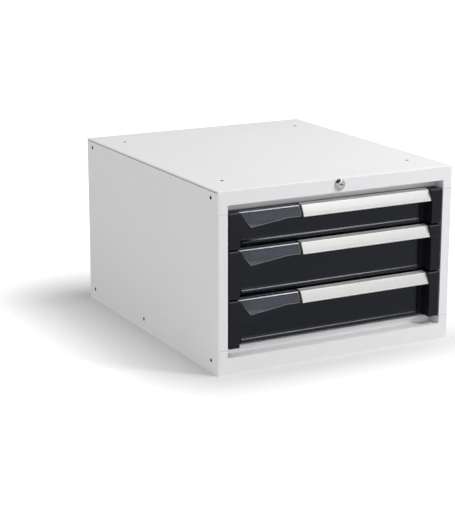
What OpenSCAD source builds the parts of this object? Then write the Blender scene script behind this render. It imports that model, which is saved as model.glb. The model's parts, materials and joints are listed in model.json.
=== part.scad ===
// Three-drawer steel cabinet with recessed dark fronts, sloped aluminium grips and a central lock.
// The origin is on the floor, in the middle of the cabinet. The fronts face -Y, and +Z points up.

/* [Casing] */
// Width of the casing
cabinet_w = 500; // [440:5:700]
// Depth of the casing, from the front frame to the back panel
casing_d = 580; // [560:5:700]
// Thickness of the casing's sheets
sheet_t = 1.5; // [1:0.1:2]
// Outer radius of the casing's folded edges
bend_r = 2.5; // [2.1:0.1:4]
// Width of the front frame's stiles
stile_w = 20; // [18:1:30]
// Height of the front frame's top rail
top_rail_h = 27; // [26:1:40]
// Height of the roof's ears, where they meet the stiles, down to the first front's top edge
top_ear_h = 42.7; // [42:0.1:55]
// Height of the front frame's bottom rail
bottom_rail_h = 30.6; // [25:0.1:45]
// Height of the floor sheet's ears, where they meet the stiles
bottom_ear_h = 46; // [45:0.5:60]
// Depth of the front frame behind its front face
frame_pocket_d = 30; // [29:1:36]
// Height of the roof's folded edge
roof_edge_h = 3; // [2.6:0.2:5]
// Seam between two neighbouring panels of the front frame
seam = 0.4; // [0.2:0.1:0.8]
// Width of the flanges that join the casing's sheets
flange_w = 16; // [14:1:18]
// Height of the riser behind the bottom rail
riser_h = 11.5; // [8:0.5:12]
// How far the inner top rail reaches down below the roof
inner_rail_drop = 49; // [46:0.5:50]

/* [Mounting holes] */
// Diameter of the mounting holes
mount_hole_d = 7; // [5:0.5:8]
// Distance between the roof's holes across the width
roof_hole_span_x = 400; // [300:5:400]
// Distance between the roof's holes along the depth
roof_hole_span_y = 425; // [300:5:425]
// From the roof's middle to the middle of its hole pattern, towards the back
roof_hole_shift = 2; // [0:0.5:6]
// From the front face to the side's front holes
side_hole_front = 27; // [26:0.5:27]
// From the back to the side's rear holes
side_hole_back = 25; // [20:0.5:28]
// From the roof down to the side's upper holes
side_hole_top = 16; // [12:0.5:17]
// From the floor up to the side's lower holes
side_hole_bottom = 23; // [22:0.5:30]
// From the back to the side's middle hole
side_hole_middle = 265; // [200:5:300]

/* [Drawer fronts] */
// Height of the first front, at the top
front_1_h = 66; // [66:1:120]
// Height of the second front
front_2_h = 88; // [66:1:140]
// Height of the third front, at the bottom
front_3_h = 88; // [66:1:140]
// Gap between two fronts, one above the other
front_gap = 4; // [3:0.5:6]
// Gap between a front and the stile beside it
side_gap = 3; // [2.5:0.5:5]
// Gap between the lowest front and the bottom rail
sill_gap = 16.7; // [14:0.1:22]
// How far the dark front sheet lies behind the front frame's face
panel_recess = 22; // [20:0.5:23]
// Thickness of the dark front sheet
panel_t = 2; // [1:0.1:2.4]
// Height of the rounded bead along the front sheet's lower edge
bead_h = 9.5; // [7:0.5:12]
// How far the bead stands out of the front sheet
bead_out = 3; // [2:0.5:6]
// Radius of the hollow that leads from the front sheet down to the bead
bead_cove_r = 9; // [3:0.5:10]
// Depth of the front sheet's folded sides, which stand on the tray's front
panel_side_fold = 5; // [4.5:0.1:5.5]
// Radius of the bend between the front sheet and its folded sides
side_bend_r = 4.5; // [2.5:0.5:4.5]
// How far the front sheet's upper and lower folds reach over the tray
panel_fold = 1.2; // [0.5:0.1:1.2]
// Gap between the front sheet and the pillar beside it
panel_gap = 9.5; // [6:0.5:13]

/* [End caps] */
// Width of an end cap's pillar
pillar_w = 21; // [19:0.5:26]
// Wall of the end caps
cap_wall = 2.5; // [2:0.1:3]
// Radius of the pillar's upper front edge
pillar_top_r = 3; // [2:0.5:5]
// Thickness of an end cap's plate on the tray's front
cap_plate_t = 1.5; // [1:0.1:2]
// How far an end cap reaches back past the tray's front
cap_wrap = 1.5; // [0.5:0.1:1.5]
// How much wider the right cap is beside the grip
head_extra_w = 3; // [1:0.5:4]
// Height of the crease in the right cap, below its top
right_crease = 22; // [18:0.5:26]
// Height of the crease in the left cap, below its top
left_crease = 44; // [40:0.5:48]
// Width of the crease grooves
crease_w = 0.6; // [0.4:0.1:1]
// Depth of the crease grooves
crease_deep = 0.4; // [0.2:0.1:0.8]

/* [Grip and label] */
// Height of the grip's front face
grip_h = 21.5; // [18:0.5:24]
// How far the grip's upper front edge lies behind the front frame's face
grip_lean = 8.8; // [6:0.2:11]
// How far the grip's upper front edge lies below its back edge
grip_drop = 1.3; // [0.5:0.1:2]
// Height at which the grip's face turns steeper, below its top
knee_drop = 15; // [12:0.5:17]
// How far the face lies back at that height
knee_lean = 2; // [1:0.2:3]
// Radius of the fold between the grip's top and its face
fold_r = 2.5; // [1.5:0.1:3]
// Wall of the grip profile
grip_wall = 2; // [1.4:0.1:2.4]
// Diameter of the rounded lip at the grip's lower edge
grip_lip_d = 3.2; // [2.4:0.1:4]
// Length of the label cover, from its pillar to its right end
label_w = 126; // [100:1:150]
// Width of the end wall between the cover and the grip
end_wall_w = 5; // [3:0.5:7]
// Wall of the label cover
cover_wall = 2; // [1.2:0.1:2.4]
// Height of the cover at its lower left corner
cover_corner_drop = 30; // [27:0.5:32]
// How far that corner lies from the pillar
cover_corner_in = 22.5; // [18:0.5:28]
// Thickness of the label card
card_t = 0.5; // [0.3:0.1:0.8]
// Running gap between parts that are snapped or slid together
fit_gap = 0.3; // [0.2:0.05:0.4]

/* [Trays] */
// Thickness of the tray sheet
tray_t = 1.2; // [0.8:0.1:1.5]
// Room behind a closed tray for the lock bar and its hooks
tray_back_room = 32; // [32:1:60]
// How far the tray's rim lies below the top of its front
tray_rim_drop = 9; // [9:0.5:14]
// How far the tray's floor lies above the bottom of its front
tray_lift = 4; // [3:0.5:6]
// Width of the tray's folded rim
tray_rim_w = 4; // [2:0.5:4]
// Hairline left between two of the tray's sheets at a weld
weld_seam = 0.1; // [0.05:0.05:0.2]

/* [Slides] */
// Width of a slide, from the upright to the tray
slide_w = 13; // [13:0.1:16]
// Height of the slide's fixed rail
slide_h = 45; // [45:0.5:48]
// Wall of the slide rails
rail_t = 1.5; // [1.2:0.1:1.6]
// Room behind the fixed rail and the drawer's rail
slide_back_room = 45.5; // [40:0.5:80]
// How much shorter the middle rail is
middle_short = 40; // [20:5:80]
// Diameter of the slide's balls
ball_d = 3.8; // [3.4:0.1:3.9]
// Clearance of the balls in their track, above and below together
ball_play = 0.2; // [0.1:0.05:0.3]
// Number of balls in a row
balls_per_row = 6; // [4:1:8]
// Distance between two balls
ball_pitch = 18; // [12:1:20]
// Thickness of the ball cages
cage_t = 0.6; // [0.4:0.1:0.7]

/* [Lock] */
// How far the lock's axis lies below the roof
lock_drop = 12.5; // [12:0.1:13]
// Diameter of the lock's head
lock_head_d = 22; // [19:0.5:23]
// How far the lock's head stands out of the top rail
lock_proud = 6; // [4:0.2:7]
// Diameter of the lock's barrel
barrel_d = 16; // [15:0.5:17]
// Length of the barrel behind the front face
barrel_len = 24; // [20:0.5:26]
// Diameter of the key cylinder's face
plug_face_d = 13; // [12.6:0.1:15]
// Diameter of the key cylinder
plug_d = 12; // [10:0.5:12]
// Width of the keyway
keyway_w = 7; // [6:0.1:9]
// Height of the keyway
keyway_h = 2.4; // [1.6:0.1:3]
// Diameter of the lock rod
rod_d = 6; // [5:0.5:7]
// Distance of the crank's pin from the rod's axis
crank_r = 6; // [5:0.1:6]
// Diameter of the crank's pin
crank_pin_d = 4; // [3:0.5:4.5]
// Width of the lock bar
bar_w = 24; // [20:1:30]
// Thickness of the lock bar and its hooks
bar_t = 2; // [1.5:0.1:2.5]
// Clearance of the pins and studs in the lock bar
bar_play = 0.3; // [0.2:0.05:0.4]

/* [Fasteners] */
// Diameter of the screws
screw_d = 4; // [3:0.5:4]
// Diameter of the screws' heads
screw_head_d = 7; // [6:0.5:8]
// Height of the screws' heads
screw_head_h = 1.8; // [1.4:0.1:2]

/* [Hidden] */
$fn = 48;

casing_colour = "#e6e8ea";
front_colour = "#2b2e34";
cap_colour = "#34383e";
grip_colour = "#eceae4";
smoke_colour = [0.35, 0.37, 0.42, 0.75];
steel_colour = "#b9bcc0";
chrome_colour = "#d8dade";
card_colour = "#f4f4f2";

// Cuts reach this far past the faces that they go through
past = 1;
side = [-1, 1];

// Heights
front_h = [front_1_h, front_2_h, front_3_h];
function heights_above(i) = i == 0 ? 0 : heights_above(i - 1) + front_h[i - 1] + front_gap;
cabinet_h = top_ear_h + heights_above(2) + front_h[2] + sill_gap + bottom_rail_h;
function front_top(i) = cabinet_h - top_ear_h - heights_above(i);
function front_bottom(i) = front_top(i) - front_h[i];
function tray_bottom(i) = front_bottom(i) + tray_lift;
function tray_top(i) = front_top(i) - tray_rim_drop;
opening_top = cabinet_h - top_rail_h;
ear_bottom = cabinet_h - top_ear_h;
roof_z = cabinet_h - sheet_t;
roof_edge_z = cabinet_h - roof_edge_h;
// The side sheets fold in below the roof's edge, and leave a groove there
roof_groove = 0.7 * sheet_t;

// Depths, from the front frame's face backwards
front_y = lock_proud - (casing_d + lock_proud + screw_head_h) / 2;
back_y = front_y + casing_d;
panel_y = front_y + panel_recess;
tray_y0 = panel_y + panel_side_fold;
tray_y1 = back_y - tray_back_room;
pocket_y = front_y + frame_pocket_d;
flange_y = back_y - 2 * sheet_t;
inner_rail_fold = 12;
riser_foot = 8;
riser_fold = 14;

// Widths, from the middle outwards
jamb_clear = 1;
half_w = cabinet_w / 2;
opening_x = half_w - stile_w;
upright_x = opening_x - jamb_clear;
tray_x = upright_x - slide_w;
cap_x = opening_x - side_gap;
pillar_x = cap_x - pillar_w;
panel_x = pillar_x - panel_gap;
bead_x = panel_x - side_bend_r;
bead_end_r = 0.8 * bead_out;
flange_x = half_w - sheet_t - flange_w;

// Uprights and slides
upright_d = 40;
upright_clear = 12;
front_upright_y = pocket_y + sheet_t;
rear_upright_y = back_y - side_hole_back - upright_clear - upright_d;
slide_clear = 3;
slide_y = pocket_y + sheet_t + slide_clear;
slide_len = back_y - slide_back_room - slide_y;
middle_len = slide_len - middle_short;

// Where the casing's screws sit
roof_screw_gap = 10;
roof_screw_front = front_upright_y + upright_d + roof_screw_gap;
roof_screw_back = rear_upright_y - roof_screw_gap;
roof_screw_depths = [roof_screw_front, (roof_screw_front + roof_screw_back) / 2, roof_screw_back];
back_screw_heights = [0.2 * cabinet_h, 0.52 * cabinet_h, 0.84 * cabinet_h];

slide_lift = 26.5;
slide_screw_len = 6;
function slide_z(i) = tray_bottom(i) + slide_lift;
track_h = ball_d + ball_play;
middle_half_h = slide_h / 2 - rail_t - track_h;
drawer_half_h = middle_half_h - rail_t - track_h;
// Where each member starts and ends across the slide, from the upright towards the tray
flange_short = 1;
fixed_flange_u = slide_w - 2 * rail_t;
middle_u = 2 * rail_t;
middle_flange_u = slide_w - flange_short;
drawer_flange_u = middle_u + 2 * rail_t;
cage_len = ball_pitch * balls_per_row;

// With the drawer pulled out by a rail's length, each cage sits in the middle of the rails that it joins
drawer_travel = slide_len;
outer_cage_start = drawer_travel / 4 + (middle_len - drawer_travel / 2 - cage_len) / 2;
inner_cage_start = (drawer_travel - cage_len) / 2;

// Screws of the fronts
cap_screw_x = tray_x - tray_t - screw_head_d / 2 - past;
cap_screw_lift = 14;
cap_screw_drop = 22;
function cap_screw_z(i) = [front_bottom(i) + cap_screw_lift, front_top(i) - cap_screw_drop];
cap_bite = 8;
screw_reach = tray_t + panel_side_fold + grip_wall;
grip_screw_drop = 14;
grip_screw_parts = [0.08, 0.5, 0.92];

// The grip's outline, seen from the side: how far it lies in front of the frame's face, and how far down
// A slanted face moves further back than it is inset, and the corner above it less far
face_shift = 1.1;
corner_shift = 0.62;
least_fold_r = 0.3;
fold_steps = 6;
function unit(v) = v / norm(v);
function turned(v, angle) = [v[0] * cos(angle) - v[1] * sin(angle), v[0] * sin(angle) + v[1] * cos(angle)];
// The corner b between the lines to a and c, rounded with the radius r
function rounded(a, b, c, r) = let (
    u = unit(a - b),
    w = unit(c - b),
    half = acos(u * w) / 2,
    start = b + u * r / tan(half),
    middle = b + unit(u + w) * r / sin(half),
    way = u[0] * w[1] > u[1] * w[0] ? -1 : 1
) [for (k = [0 : fold_steps]) middle + turned(start - middle, way * (180 - 2 * half) * k / fold_steps)];
function grip_back(inset) = [-panel_recess, inset];
function grip_corner(inset) = [-grip_lean - corner_shift * inset, grip_drop + inset];
function grip_knee(inset) = [-knee_lean - face_shift * inset, knee_drop];
function grip_line(inset) = concat(
    [grip_back(inset)],
    rounded(grip_back(inset), grip_corner(inset), grip_knee(inset), max(fold_r - inset, least_fold_r)),
    [grip_knee(inset), [-face_shift * inset, grip_h]]
);
function from_side(points) = [for (p = points) [front_y - p[0], -p[1]]];
function reversed(list) = [for (k = [len(list) - 1 : -1 : 0]) list[k]];
end_wall_inset = 0.4;
cover_bulge = 1.6;
cover_foot = cover_corner_drop + 1;
function cover_line(inset) = concat(grip_line(inset), [[cover_bulge - face_shift * inset, cover_foot]]);
seat_wall = 1.5;
card_gap = 0.5;
seat_inset = cover_wall + card_t + card_gap;
card_margin = 4;
card_foot = 3;
label_x0 = -pillar_x;
label_x1 = label_x0 + label_w;
handle_x0 = label_x1 + end_wall_w + fit_gap;
handle_x1 = pillar_x - head_extra_w;

// The label cover's outline, seen from the front: from its pillar, and down from its top
cover_flat_in = 98;
cover_flat_drop = grip_h - 1;
bracket_lip = 1.4;

// Lock
lock_z = cabinet_h - lock_drop;
head_bevel = 0.75 * lock_proud;
head_rim = 0.8;
nut_across = 20;
nut_h = 4;
plug_face_h = 3;
plug_set_back = 0.2;
plug_play = 0.1;
plug_tail = 3;
keyway_arc = 9;
keyway_deep = 9;
rod_bite = 4;
rod_y0 = front_y + barrel_len - rod_bite;
rod_play = 0.15;
hanger_w = 26;
hanger_drop = 8;
hanger_back = 12;
crank_t = 4;
crank_d = 18;
hub_wall = 3;
hub_d = rod_d + 2 * hub_wall;
hub_len = 6;
bar_back_gap = 5.5;
bar_y1 = back_y - sheet_t - bar_back_gap;
bar_y0 = bar_y1 - bar_t;
crank_gap = 1;
crank_y1 = bar_y0 - crank_gap;
crank_y0 = crank_y1 - crank_t;
crank_angle = 45;
crank_x = crank_r * cos(crank_angle);
crank_z = crank_r * sin(crank_angle);
bar_stroke = 2 * crank_z;
catch_drop = 24;
catch_lip_h = 8.6;
catch_foot_h = 10;
catch_reach = 9;
catch_y = tray_y1 + catch_reach;
catch_w = 20;
hook_room = 1.2;
hook_lip_h = 10;
bar_edge = 2;
guide_lift = 14;
stud_shaft_d = 6;
stud_head_d = 10;

module box(low, high) {
    translate(low) cube(high - low);
}

// A flat outline in Y and Z, drawn out across the width
module along_x(x0, x1) {
    translate([x0, 0, 0]) rotate([90, 0, 90]) linear_extrude(height = x1 - x0) children();
}

// A flat outline in X and Z, drawn out along the depth
module along_y(y0, y1) {
    translate([0, y1, 0]) rotate([90, 0, 0]) linear_extrude(height = y1 - y0) children();
}

module cylinder_y(d, y0, y1, x, z) {
    translate([x, y1, z]) rotate([90, 0, 0]) cylinder(d = d, h = y1 - y0);
}

module cylinder_x(d, x0, x1, y, z) {
    translate([x0, y, z]) rotate([0, 90, 0]) cylinder(d = d, h = x1 - x0);
}

module mirrored(s) {
    if (s > 0) children();
    else mirror([1, 0, 0]) children();
}

// What a rounded corner leaves of a square corner at (cx, cy), which points towards (dx, dy)
module corner_waste(cx, cy, dx, dy, r) {
    difference() {
        translate([min(cx, cx - dx * r), min(cy, cy - dy * r)]) square(r);
        translate([cx - dx * r, cy - dy * r]) circle(r);
    }
}

// The casing's outer form, or its inner form one sheet further in, with the folded edges rounded
module casing_form(inset) {
    r = bend_r - inset;
    w = half_w - inset;
    y0 = front_y + inset;
    top = cabinet_h - inset;
    low = -past * inset;
    deep = back_y + past * inset;
    intersection() {
        translate([0, 0, low]) linear_extrude(height = top - low) difference() {
            translate([-w, y0]) square([2 * w, deep - y0]);
            for (s = side) corner_waste(s * w, y0, s, -1, r);
        }
        along_y(y0, deep) difference() {
            translate([-w, low]) square([2 * w, top - low]);
            for (s = side) corner_waste(s * w, top, s, 1, r);
        }
        along_x(-w, w) difference() {
            translate([y0, low]) square([deep - y0, top - low]);
            corner_waste(y0, top, -1, 1, r);
        }
    }
}

module casing_skin() {
    difference() {
        casing_form(0);
        casing_form(sheet_t);
    }
}

module side_holes(s) {
    for (y = [front_y + side_hole_front, back_y - side_hole_back])
        for (z = [side_hole_bottom, cabinet_h - side_hole_top])
            mirrored(s) cylinder_x(mount_hole_d, half_w - 2 * sheet_t, half_w + past, y, z);
    mirrored(s) cylinder_x(mount_hole_d, half_w - 2 * sheet_t, half_w + past, back_y - side_hole_middle,
        side_hole_bottom);
}

module top_panel() {
    color(casing_colour) difference() {
        union() {
            intersection() {
                casing_skin();
                union() {
                    box([-half_w, front_y, roof_edge_z], [half_w, back_y, cabinet_h]);
                    box([-half_w, front_y, opening_top], [half_w, front_y + bend_r, cabinet_h]);
                    for (s = side) mirrored(s)
                        box([opening_x, front_y, ear_bottom], [half_w, front_y + bend_r, cabinet_h]);
                }
            }
            box([-opening_x, front_y, opening_top], [opening_x, pocket_y, opening_top + sheet_t]);
            for (s = side) mirrored(s) {
                box([flange_x, pocket_y + flange_w, roof_edge_z], [half_w - sheet_t, flange_y, roof_z]);
                box([opening_x, front_y, ear_bottom], [opening_x + sheet_t, pocket_y, opening_top + sheet_t]);
            }
            box([-half_w + sheet_t, back_y - sheet_t, roof_edge_z], [half_w - sheet_t, back_y, roof_z]);
        }
        for (x = [-roof_hole_span_x / 2, roof_hole_span_x / 2])
            for (y = [-roof_hole_span_y / 2, roof_hole_span_y / 2])
                translate([x, (front_y + back_y) / 2 + roof_hole_shift + y, roof_z - past])
                    cylinder(d = mount_hole_d, h = sheet_t + 2 * past);
        cylinder_y(barrel_d, front_y - past, front_y + 2 * sheet_t, 0, lock_z);
        roof_screw_places() translate([0, 0, roof_edge_z - past]) cylinder(d = screw_d, h = past + sheet_t);
    }
}

// The screws that hold the roof's hems on the side panels, from below
module roof_screw_places() {
    for (x = [-half_w + sheet_t + flange_w / 2, half_w - sheet_t - flange_w / 2])
        for (y = roof_screw_depths)
            translate([x, y, 0]) children();
}

module side_panel(s) {
    color(casing_colour) difference() {
        mirrored(s) union() {
            intersection() {
                casing_skin();
                union() {
                    box([half_w - sheet_t, front_y + bend_r, 0],
                        [half_w, back_y - sheet_t, roof_edge_z - roof_groove]);
                    box([opening_x, front_y, bottom_ear_h + seam],
                        [half_w, front_y + bend_r, ear_bottom - seam]);
                }
            }
            box([opening_x, front_y, bottom_ear_h + seam],
                [opening_x + sheet_t, pocket_y, ear_bottom - seam]);
            box([flange_x, pocket_y + flange_w, roof_edge_z - sheet_t],
                [half_w - sheet_t, flange_y, roof_edge_z]);
            box([flange_x, flange_y, flange_w + past], [half_w - sheet_t, flange_y + sheet_t, roof_edge_z]);
        }
        side_holes(s);
        roof_screw_places() translate([0, 0, roof_edge_z - sheet_t - past])
            cylinder(d = screw_d, h = sheet_t + 2 * past);
        back_screw_places() cylinder(d = screw_d, h = 4 * sheet_t, center = true);
    }
}

// The screws that hold the back panel on the side panels' and the floor's flanges
module back_screw_places() {
    for (x = [-half_w + sheet_t + flange_w / 2, half_w - sheet_t - flange_w / 2])
        for (z = back_screw_heights)
            translate([x, back_y - sheet_t, z]) rotate([90, 0, 0]) children();
    for (x = [-cabinet_w / 4, cabinet_w / 4])
        translate([x, back_y - sheet_t, flange_w / 2 + sheet_t / 2]) rotate([90, 0, 0]) children();
}

module bottom_panel() {
    color(casing_colour) difference() {
        union() {
            intersection() {
                casing_skin();
                union() {
                    box([-half_w, front_y, 0], [half_w, front_y + bend_r, bottom_rail_h]);
                    for (s = side) mirrored(s)
                        box([opening_x, front_y, 0], [half_w, front_y + bend_r, bottom_ear_h]);
                }
            }
            box([-half_w + sheet_t, front_y + sheet_t, 0], [half_w - sheet_t, flange_y, sheet_t]);
            box([-opening_x, front_y, bottom_rail_h - sheet_t], [opening_x, pocket_y, bottom_rail_h]);
            box([-opening_x, pocket_y - sheet_t, bottom_rail_h / 2], [opening_x, pocket_y, bottom_rail_h]);
            for (s = side) mirrored(s) {
                box([opening_x, front_y, bottom_rail_h - sheet_t],
                    [opening_x + sheet_t, pocket_y, bottom_ear_h]);
                box([half_w - 2 * sheet_t, pocket_y + sheet_t, 0], [half_w - sheet_t, flange_y, flange_w]);
            }
            box([-flange_x + sheet_t, flange_y, 0], [flange_x - sheet_t, flange_y + sheet_t, flange_w]);
        }
        back_screw_places() cylinder(d = screw_d, h = 4 * sheet_t, center = true);
    }
}

module back_panel() {
    color(casing_colour) difference() {
        box([-half_w, back_y - sheet_t, 0], [half_w, back_y, roof_edge_z]);
        back_screw_places() cylinder(d = screw_d, h = 4 * sheet_t, center = true);
        guide_places() cylinder_y(screw_d, back_y - 2 * sheet_t, back_y + past, 0, 0);
    }
}

module inner_top_rail() {
    z0 = cabinet_h - inner_rail_drop;
    color(casing_colour) difference() {
        union() {
            box([-upright_x - flange_w, pocket_y, z0], [upright_x + flange_w, pocket_y + sheet_t, roof_z]);
            box([-upright_x, pocket_y, z0], [upright_x, pocket_y + inner_rail_fold, z0 + sheet_t]);
            box([-upright_x, pocket_y, roof_z - sheet_t], [upright_x, pocket_y + inner_rail_fold, roof_z]);
        }
        cylinder_y(hub_d, pocket_y - past, pocket_y + sheet_t + past, 0, lock_z);
    }
}

module inner_bottom_rail() {
    z1 = bottom_rail_h + riser_h;
    color(casing_colour) union() {
        box([-upright_x, pocket_y, bottom_rail_h - riser_foot], [upright_x, pocket_y + sheet_t, z1]);
        box([-upright_x, pocket_y, z1 - sheet_t], [upright_x, pocket_y + riser_fold, z1]);
    }
}

// A folded channel between the floor sheet and the side panel's upper flange
module upright(y0) {
    y1 = y0 + upright_d;
    difference() {
        box([upright_x, y0, sheet_t], [half_w - sheet_t, y1, roof_edge_z - sheet_t]);
        box([upright_x + sheet_t, y0 + sheet_t, 0], [half_w, y1 - sheet_t, cabinet_h]);
        box([half_w - 2 * sheet_t, y0 - past, 0], [half_w, y1 + past, flange_w]);
        for (i = [0 : 2]) cylinder_x(screw_d, upright_x - past, upright_x + 2 * sheet_t, y0 + upright_d / 2,
            slide_z(i));
    }
}

module uprights() {
    color(steel_colour) for (s = side) mirrored(s) for (y = [front_upright_y, rear_upright_y]) upright(y);
}

module pan_head_screw(length) {
    translate([0, 0, -length]) cylinder(d = screw_d, h = length);
    cylinder(d = screw_head_d, h = screw_head_h);
}

module casing_screws() {
    color(steel_colour) {
        back_screw_places() translate([0, 0, -sheet_t]) mirror([0, 0, 1]) pan_head_screw(3 * sheet_t);
        roof_screw_places() translate([0, 0, roof_edge_z - sheet_t]) mirror([0, 0, 1])
            pan_head_screw(2 * sheet_t);
    }
}

// One straight member of a slide: across from u0 to u1, and up and down from the slide's middle
module rail_box(u0, u1, z0, z1, y0, length) {
    box([upright_x - u1, y0, z0], [upright_x - u0, y0 + length, z1]);
}

// A channel with its web towards the upright (facing = 1) or towards the tray (facing = -1)
module rail_channel(web_u, edge_u, half_h, y0, length) {
    web_end = edge_u > web_u ? web_u + rail_t : web_u - rail_t;
    rail_box(min(web_u, web_end), max(web_u, web_end), -half_h, half_h, y0, length);
    for (k = side)
        rail_box(min(web_u, edge_u), max(web_u, edge_u), k * half_h - (k > 0 ? rail_t : 0),
            k * half_h + (k > 0 ? 0 : rail_t), y0, length);
}

module slide_screw_places() {
    for (y = [front_upright_y, rear_upright_y]) translate([upright_x, y + upright_d / 2, 0])
        rotate([0, 90, 0]) children();
}

module cabinet_rails(i) {
    color(steel_colour) for (s = side) mirrored(s) translate([0, 0, slide_z(i)]) difference() {
        rail_channel(0, fixed_flange_u, slide_h / 2, slide_y, slide_len);
        slide_screw_places() translate([0, 0, -rail_t]) cylinder(d1 = screw_head_d, d2 = screw_d, h = rail_t);
    }
}

module slide_screws() {
    color(steel_colour) for (i = [0 : 2]) for (s = side) mirrored(s) translate([0, 0, slide_z(i)])
        slide_screw_places() {
            translate([0, 0, -rail_t]) cylinder(d1 = screw_head_d, d2 = screw_d, h = rail_t);
            cylinder(d = screw_d, h = slide_screw_len);
        }
}

module middle_rails(i) {
    color(steel_colour) for (s = side) mirrored(s) translate([0, 0, slide_z(i)])
        rail_channel(middle_u, middle_flange_u, middle_half_h, slide_y, middle_len);
}

module drawer_rails(i) {
    color(steel_colour) for (s = side) mirrored(s) translate([0, 0, slide_z(i)])
        rail_channel(slide_w, drawer_flange_u, drawer_half_h, slide_y, slide_len);
}

// A cage strip folded round a row of balls above and a row below
module ball_cage(web_u, ball_u, row_z, y0) {
    rail_box(web_u, web_u + cage_t, -row_z, row_z, y0, cage_len);
    for (k = side) {
        rail_box(web_u, ball_u + ball_d / 2, k * row_z - cage_t / 2, k * row_z + cage_t / 2, y0, cage_len);
        for (n = [0 : balls_per_row - 1])
            translate([upright_x - ball_u, y0 + (n + 0.5) * ball_pitch, k * row_z]) sphere(d = ball_d);
    }
}

module outer_cages(i) {
    color(chrome_colour) for (s = side) mirrored(s) translate([0, 0, slide_z(i)])
        ball_cage(rail_t + (middle_u - rail_t - cage_t) / 2, (middle_u + fixed_flange_u) / 2 + 0.5,
            middle_half_h + track_h / 2, slide_y + outer_cage_start);
}

module inner_cages(i) {
    color(chrome_colour) for (s = side) mirrored(s) translate([0, 0, slide_z(i)])
        ball_cage(middle_u + rail_t + (drawer_flange_u - middle_u - rail_t - cage_t) / 2,
            (drawer_flange_u + middle_flange_u) / 2, drawer_half_h + track_h / 2, slide_y + inner_cage_start);
}

// A folded floor with its two sides, and the front and back walls welded in between
// Five sheets, welded along their edges: the floor, the sides and the back with their rims, and the front
module tray(i) {
    z0 = tray_bottom(i);
    z1 = tray_top(i);
    inner_z = z0 + tray_t + weld_seam;
    side_x = tray_x - tray_t;
    inner_x = side_x - weld_seam;
    color(casing_colour) {
        box([-inner_x, tray_y0, z0], [inner_x, tray_y1, z0 + tray_t]);
        for (s = side) mirrored(s) {
            box([side_x, tray_y0, z0], [tray_x, tray_y1, z1]);
            box([side_x, slide_y, z1 - tray_t], [tray_x + tray_rim_w, tray_y1, z1]);
        }
        difference() {
            box([-inner_x, tray_y0, inner_z], [inner_x, tray_y0 + tray_t, z1]);
            front_screw_holes(i);
        }
        box([-inner_x, tray_y1 - tray_t, inner_z], [inner_x, tray_y1, z1]);
        box([-inner_x, tray_y1 - tray_t, z1 - tray_t], [inner_x, tray_y1 + tray_rim_w, z1]);
    }
}

// Two screws in each end cap, from inside the tray
module cap_screw_places(i) {
    for (x = [-cap_screw_x, cap_screw_x]) for (z = cap_screw_z(i))
        translate([x, tray_y0 + tray_t, z]) rotate([-90, 0, 0]) children();
}

// Three screws in the grip, from inside the tray
module grip_screw_places(i) {
    for (k = grip_screw_parts)
        translate([handle_x0 + k * (handle_x1 - handle_x0), tray_y0 + tray_t, front_top(i) - grip_screw_drop])
            rotate([-90, 0, 0]) children();
}

module front_screw_holes(i) {
    cap_screw_places(i) cylinder(d = screw_d, h = 2 * screw_reach, center = true);
    grip_screw_places(i) cylinder(d = screw_d, h = 2 * (screw_reach + past), center = true);
}

module front_screws(i) {
    color(steel_colour) {
        cap_screw_places(i) pan_head_screw(tray_t + panel_side_fold + cap_bite);
        grip_screw_places(i) pan_head_screw(screw_reach);
    }
}

// The bead seen from the side, with a hollow above it that meets the front sheet and the bead smoothly
module bead_outline() {
    bead_r = bead_h / 2;
    nose = [bead_r - bead_out, bead_r];
    hollow = [-bead_cove_r, bead_r + sqrt(pow(bead_r + bead_cove_r, 2) - pow(nose[0] + bead_cove_r, 2))];
    intersection() {
        union() {
            translate(nose) circle(bead_r);
            difference() {
                polygon([[nose[0], 0], nose, hollow, [past, hollow[1]], [past, 0]]);
                translate(hollow) circle(bead_cove_r);
            }
        }
        translate([-bead_out, 0]) square([bead_out + past, hollow[1]]);
    }
}

// A rectangle seen from above, from -x to x and from y0 backwards, with its front corners rounded
module plan(x, y0, depth, r) {
    difference() {
        translate([-x, y0]) square([2 * x, depth]);
        for (s = side) corner_waste(s * x, y0, s, -1, r);
    }
}

module front_panel(i) {
    z0 = front_bottom(i);
    h = front_h[i];
    color(front_colour) difference() {
        union() {
            translate([0, 0, z0]) {
                linear_extrude(height = h) difference() {
                    plan(panel_x, panel_y, panel_side_fold, side_bend_r);
                    plan(panel_x - panel_t, panel_y + panel_t, panel_side_fold, side_bend_r - panel_t);
                }
                for (z = [0, h - panel_t]) translate([0, 0, z]) linear_extrude(height = panel_t)
                    plan(panel_x, panel_y, panel_side_fold + panel_fold, side_bend_r);
            }
            intersection() {
                along_x(-bead_x, bead_x) translate([panel_y, z0]) bead_outline();
                translate([0, 0, z0]) linear_extrude(height = h)
                    plan(bead_x, panel_y - bead_out, bead_out + panel_t, bead_end_r);
            }
        }
        front_screw_holes(i);
    }
}

// A pillar's outline from the side, with its upper front edge rounded
module pillar_outline(i) {
    difference() {
        translate([front_y, front_bottom(i)]) square([tray_y0 - front_y, front_h[i]]);
        corner_waste(front_y, front_top(i), -1, 1, pillar_top_r);
    }
}

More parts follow.
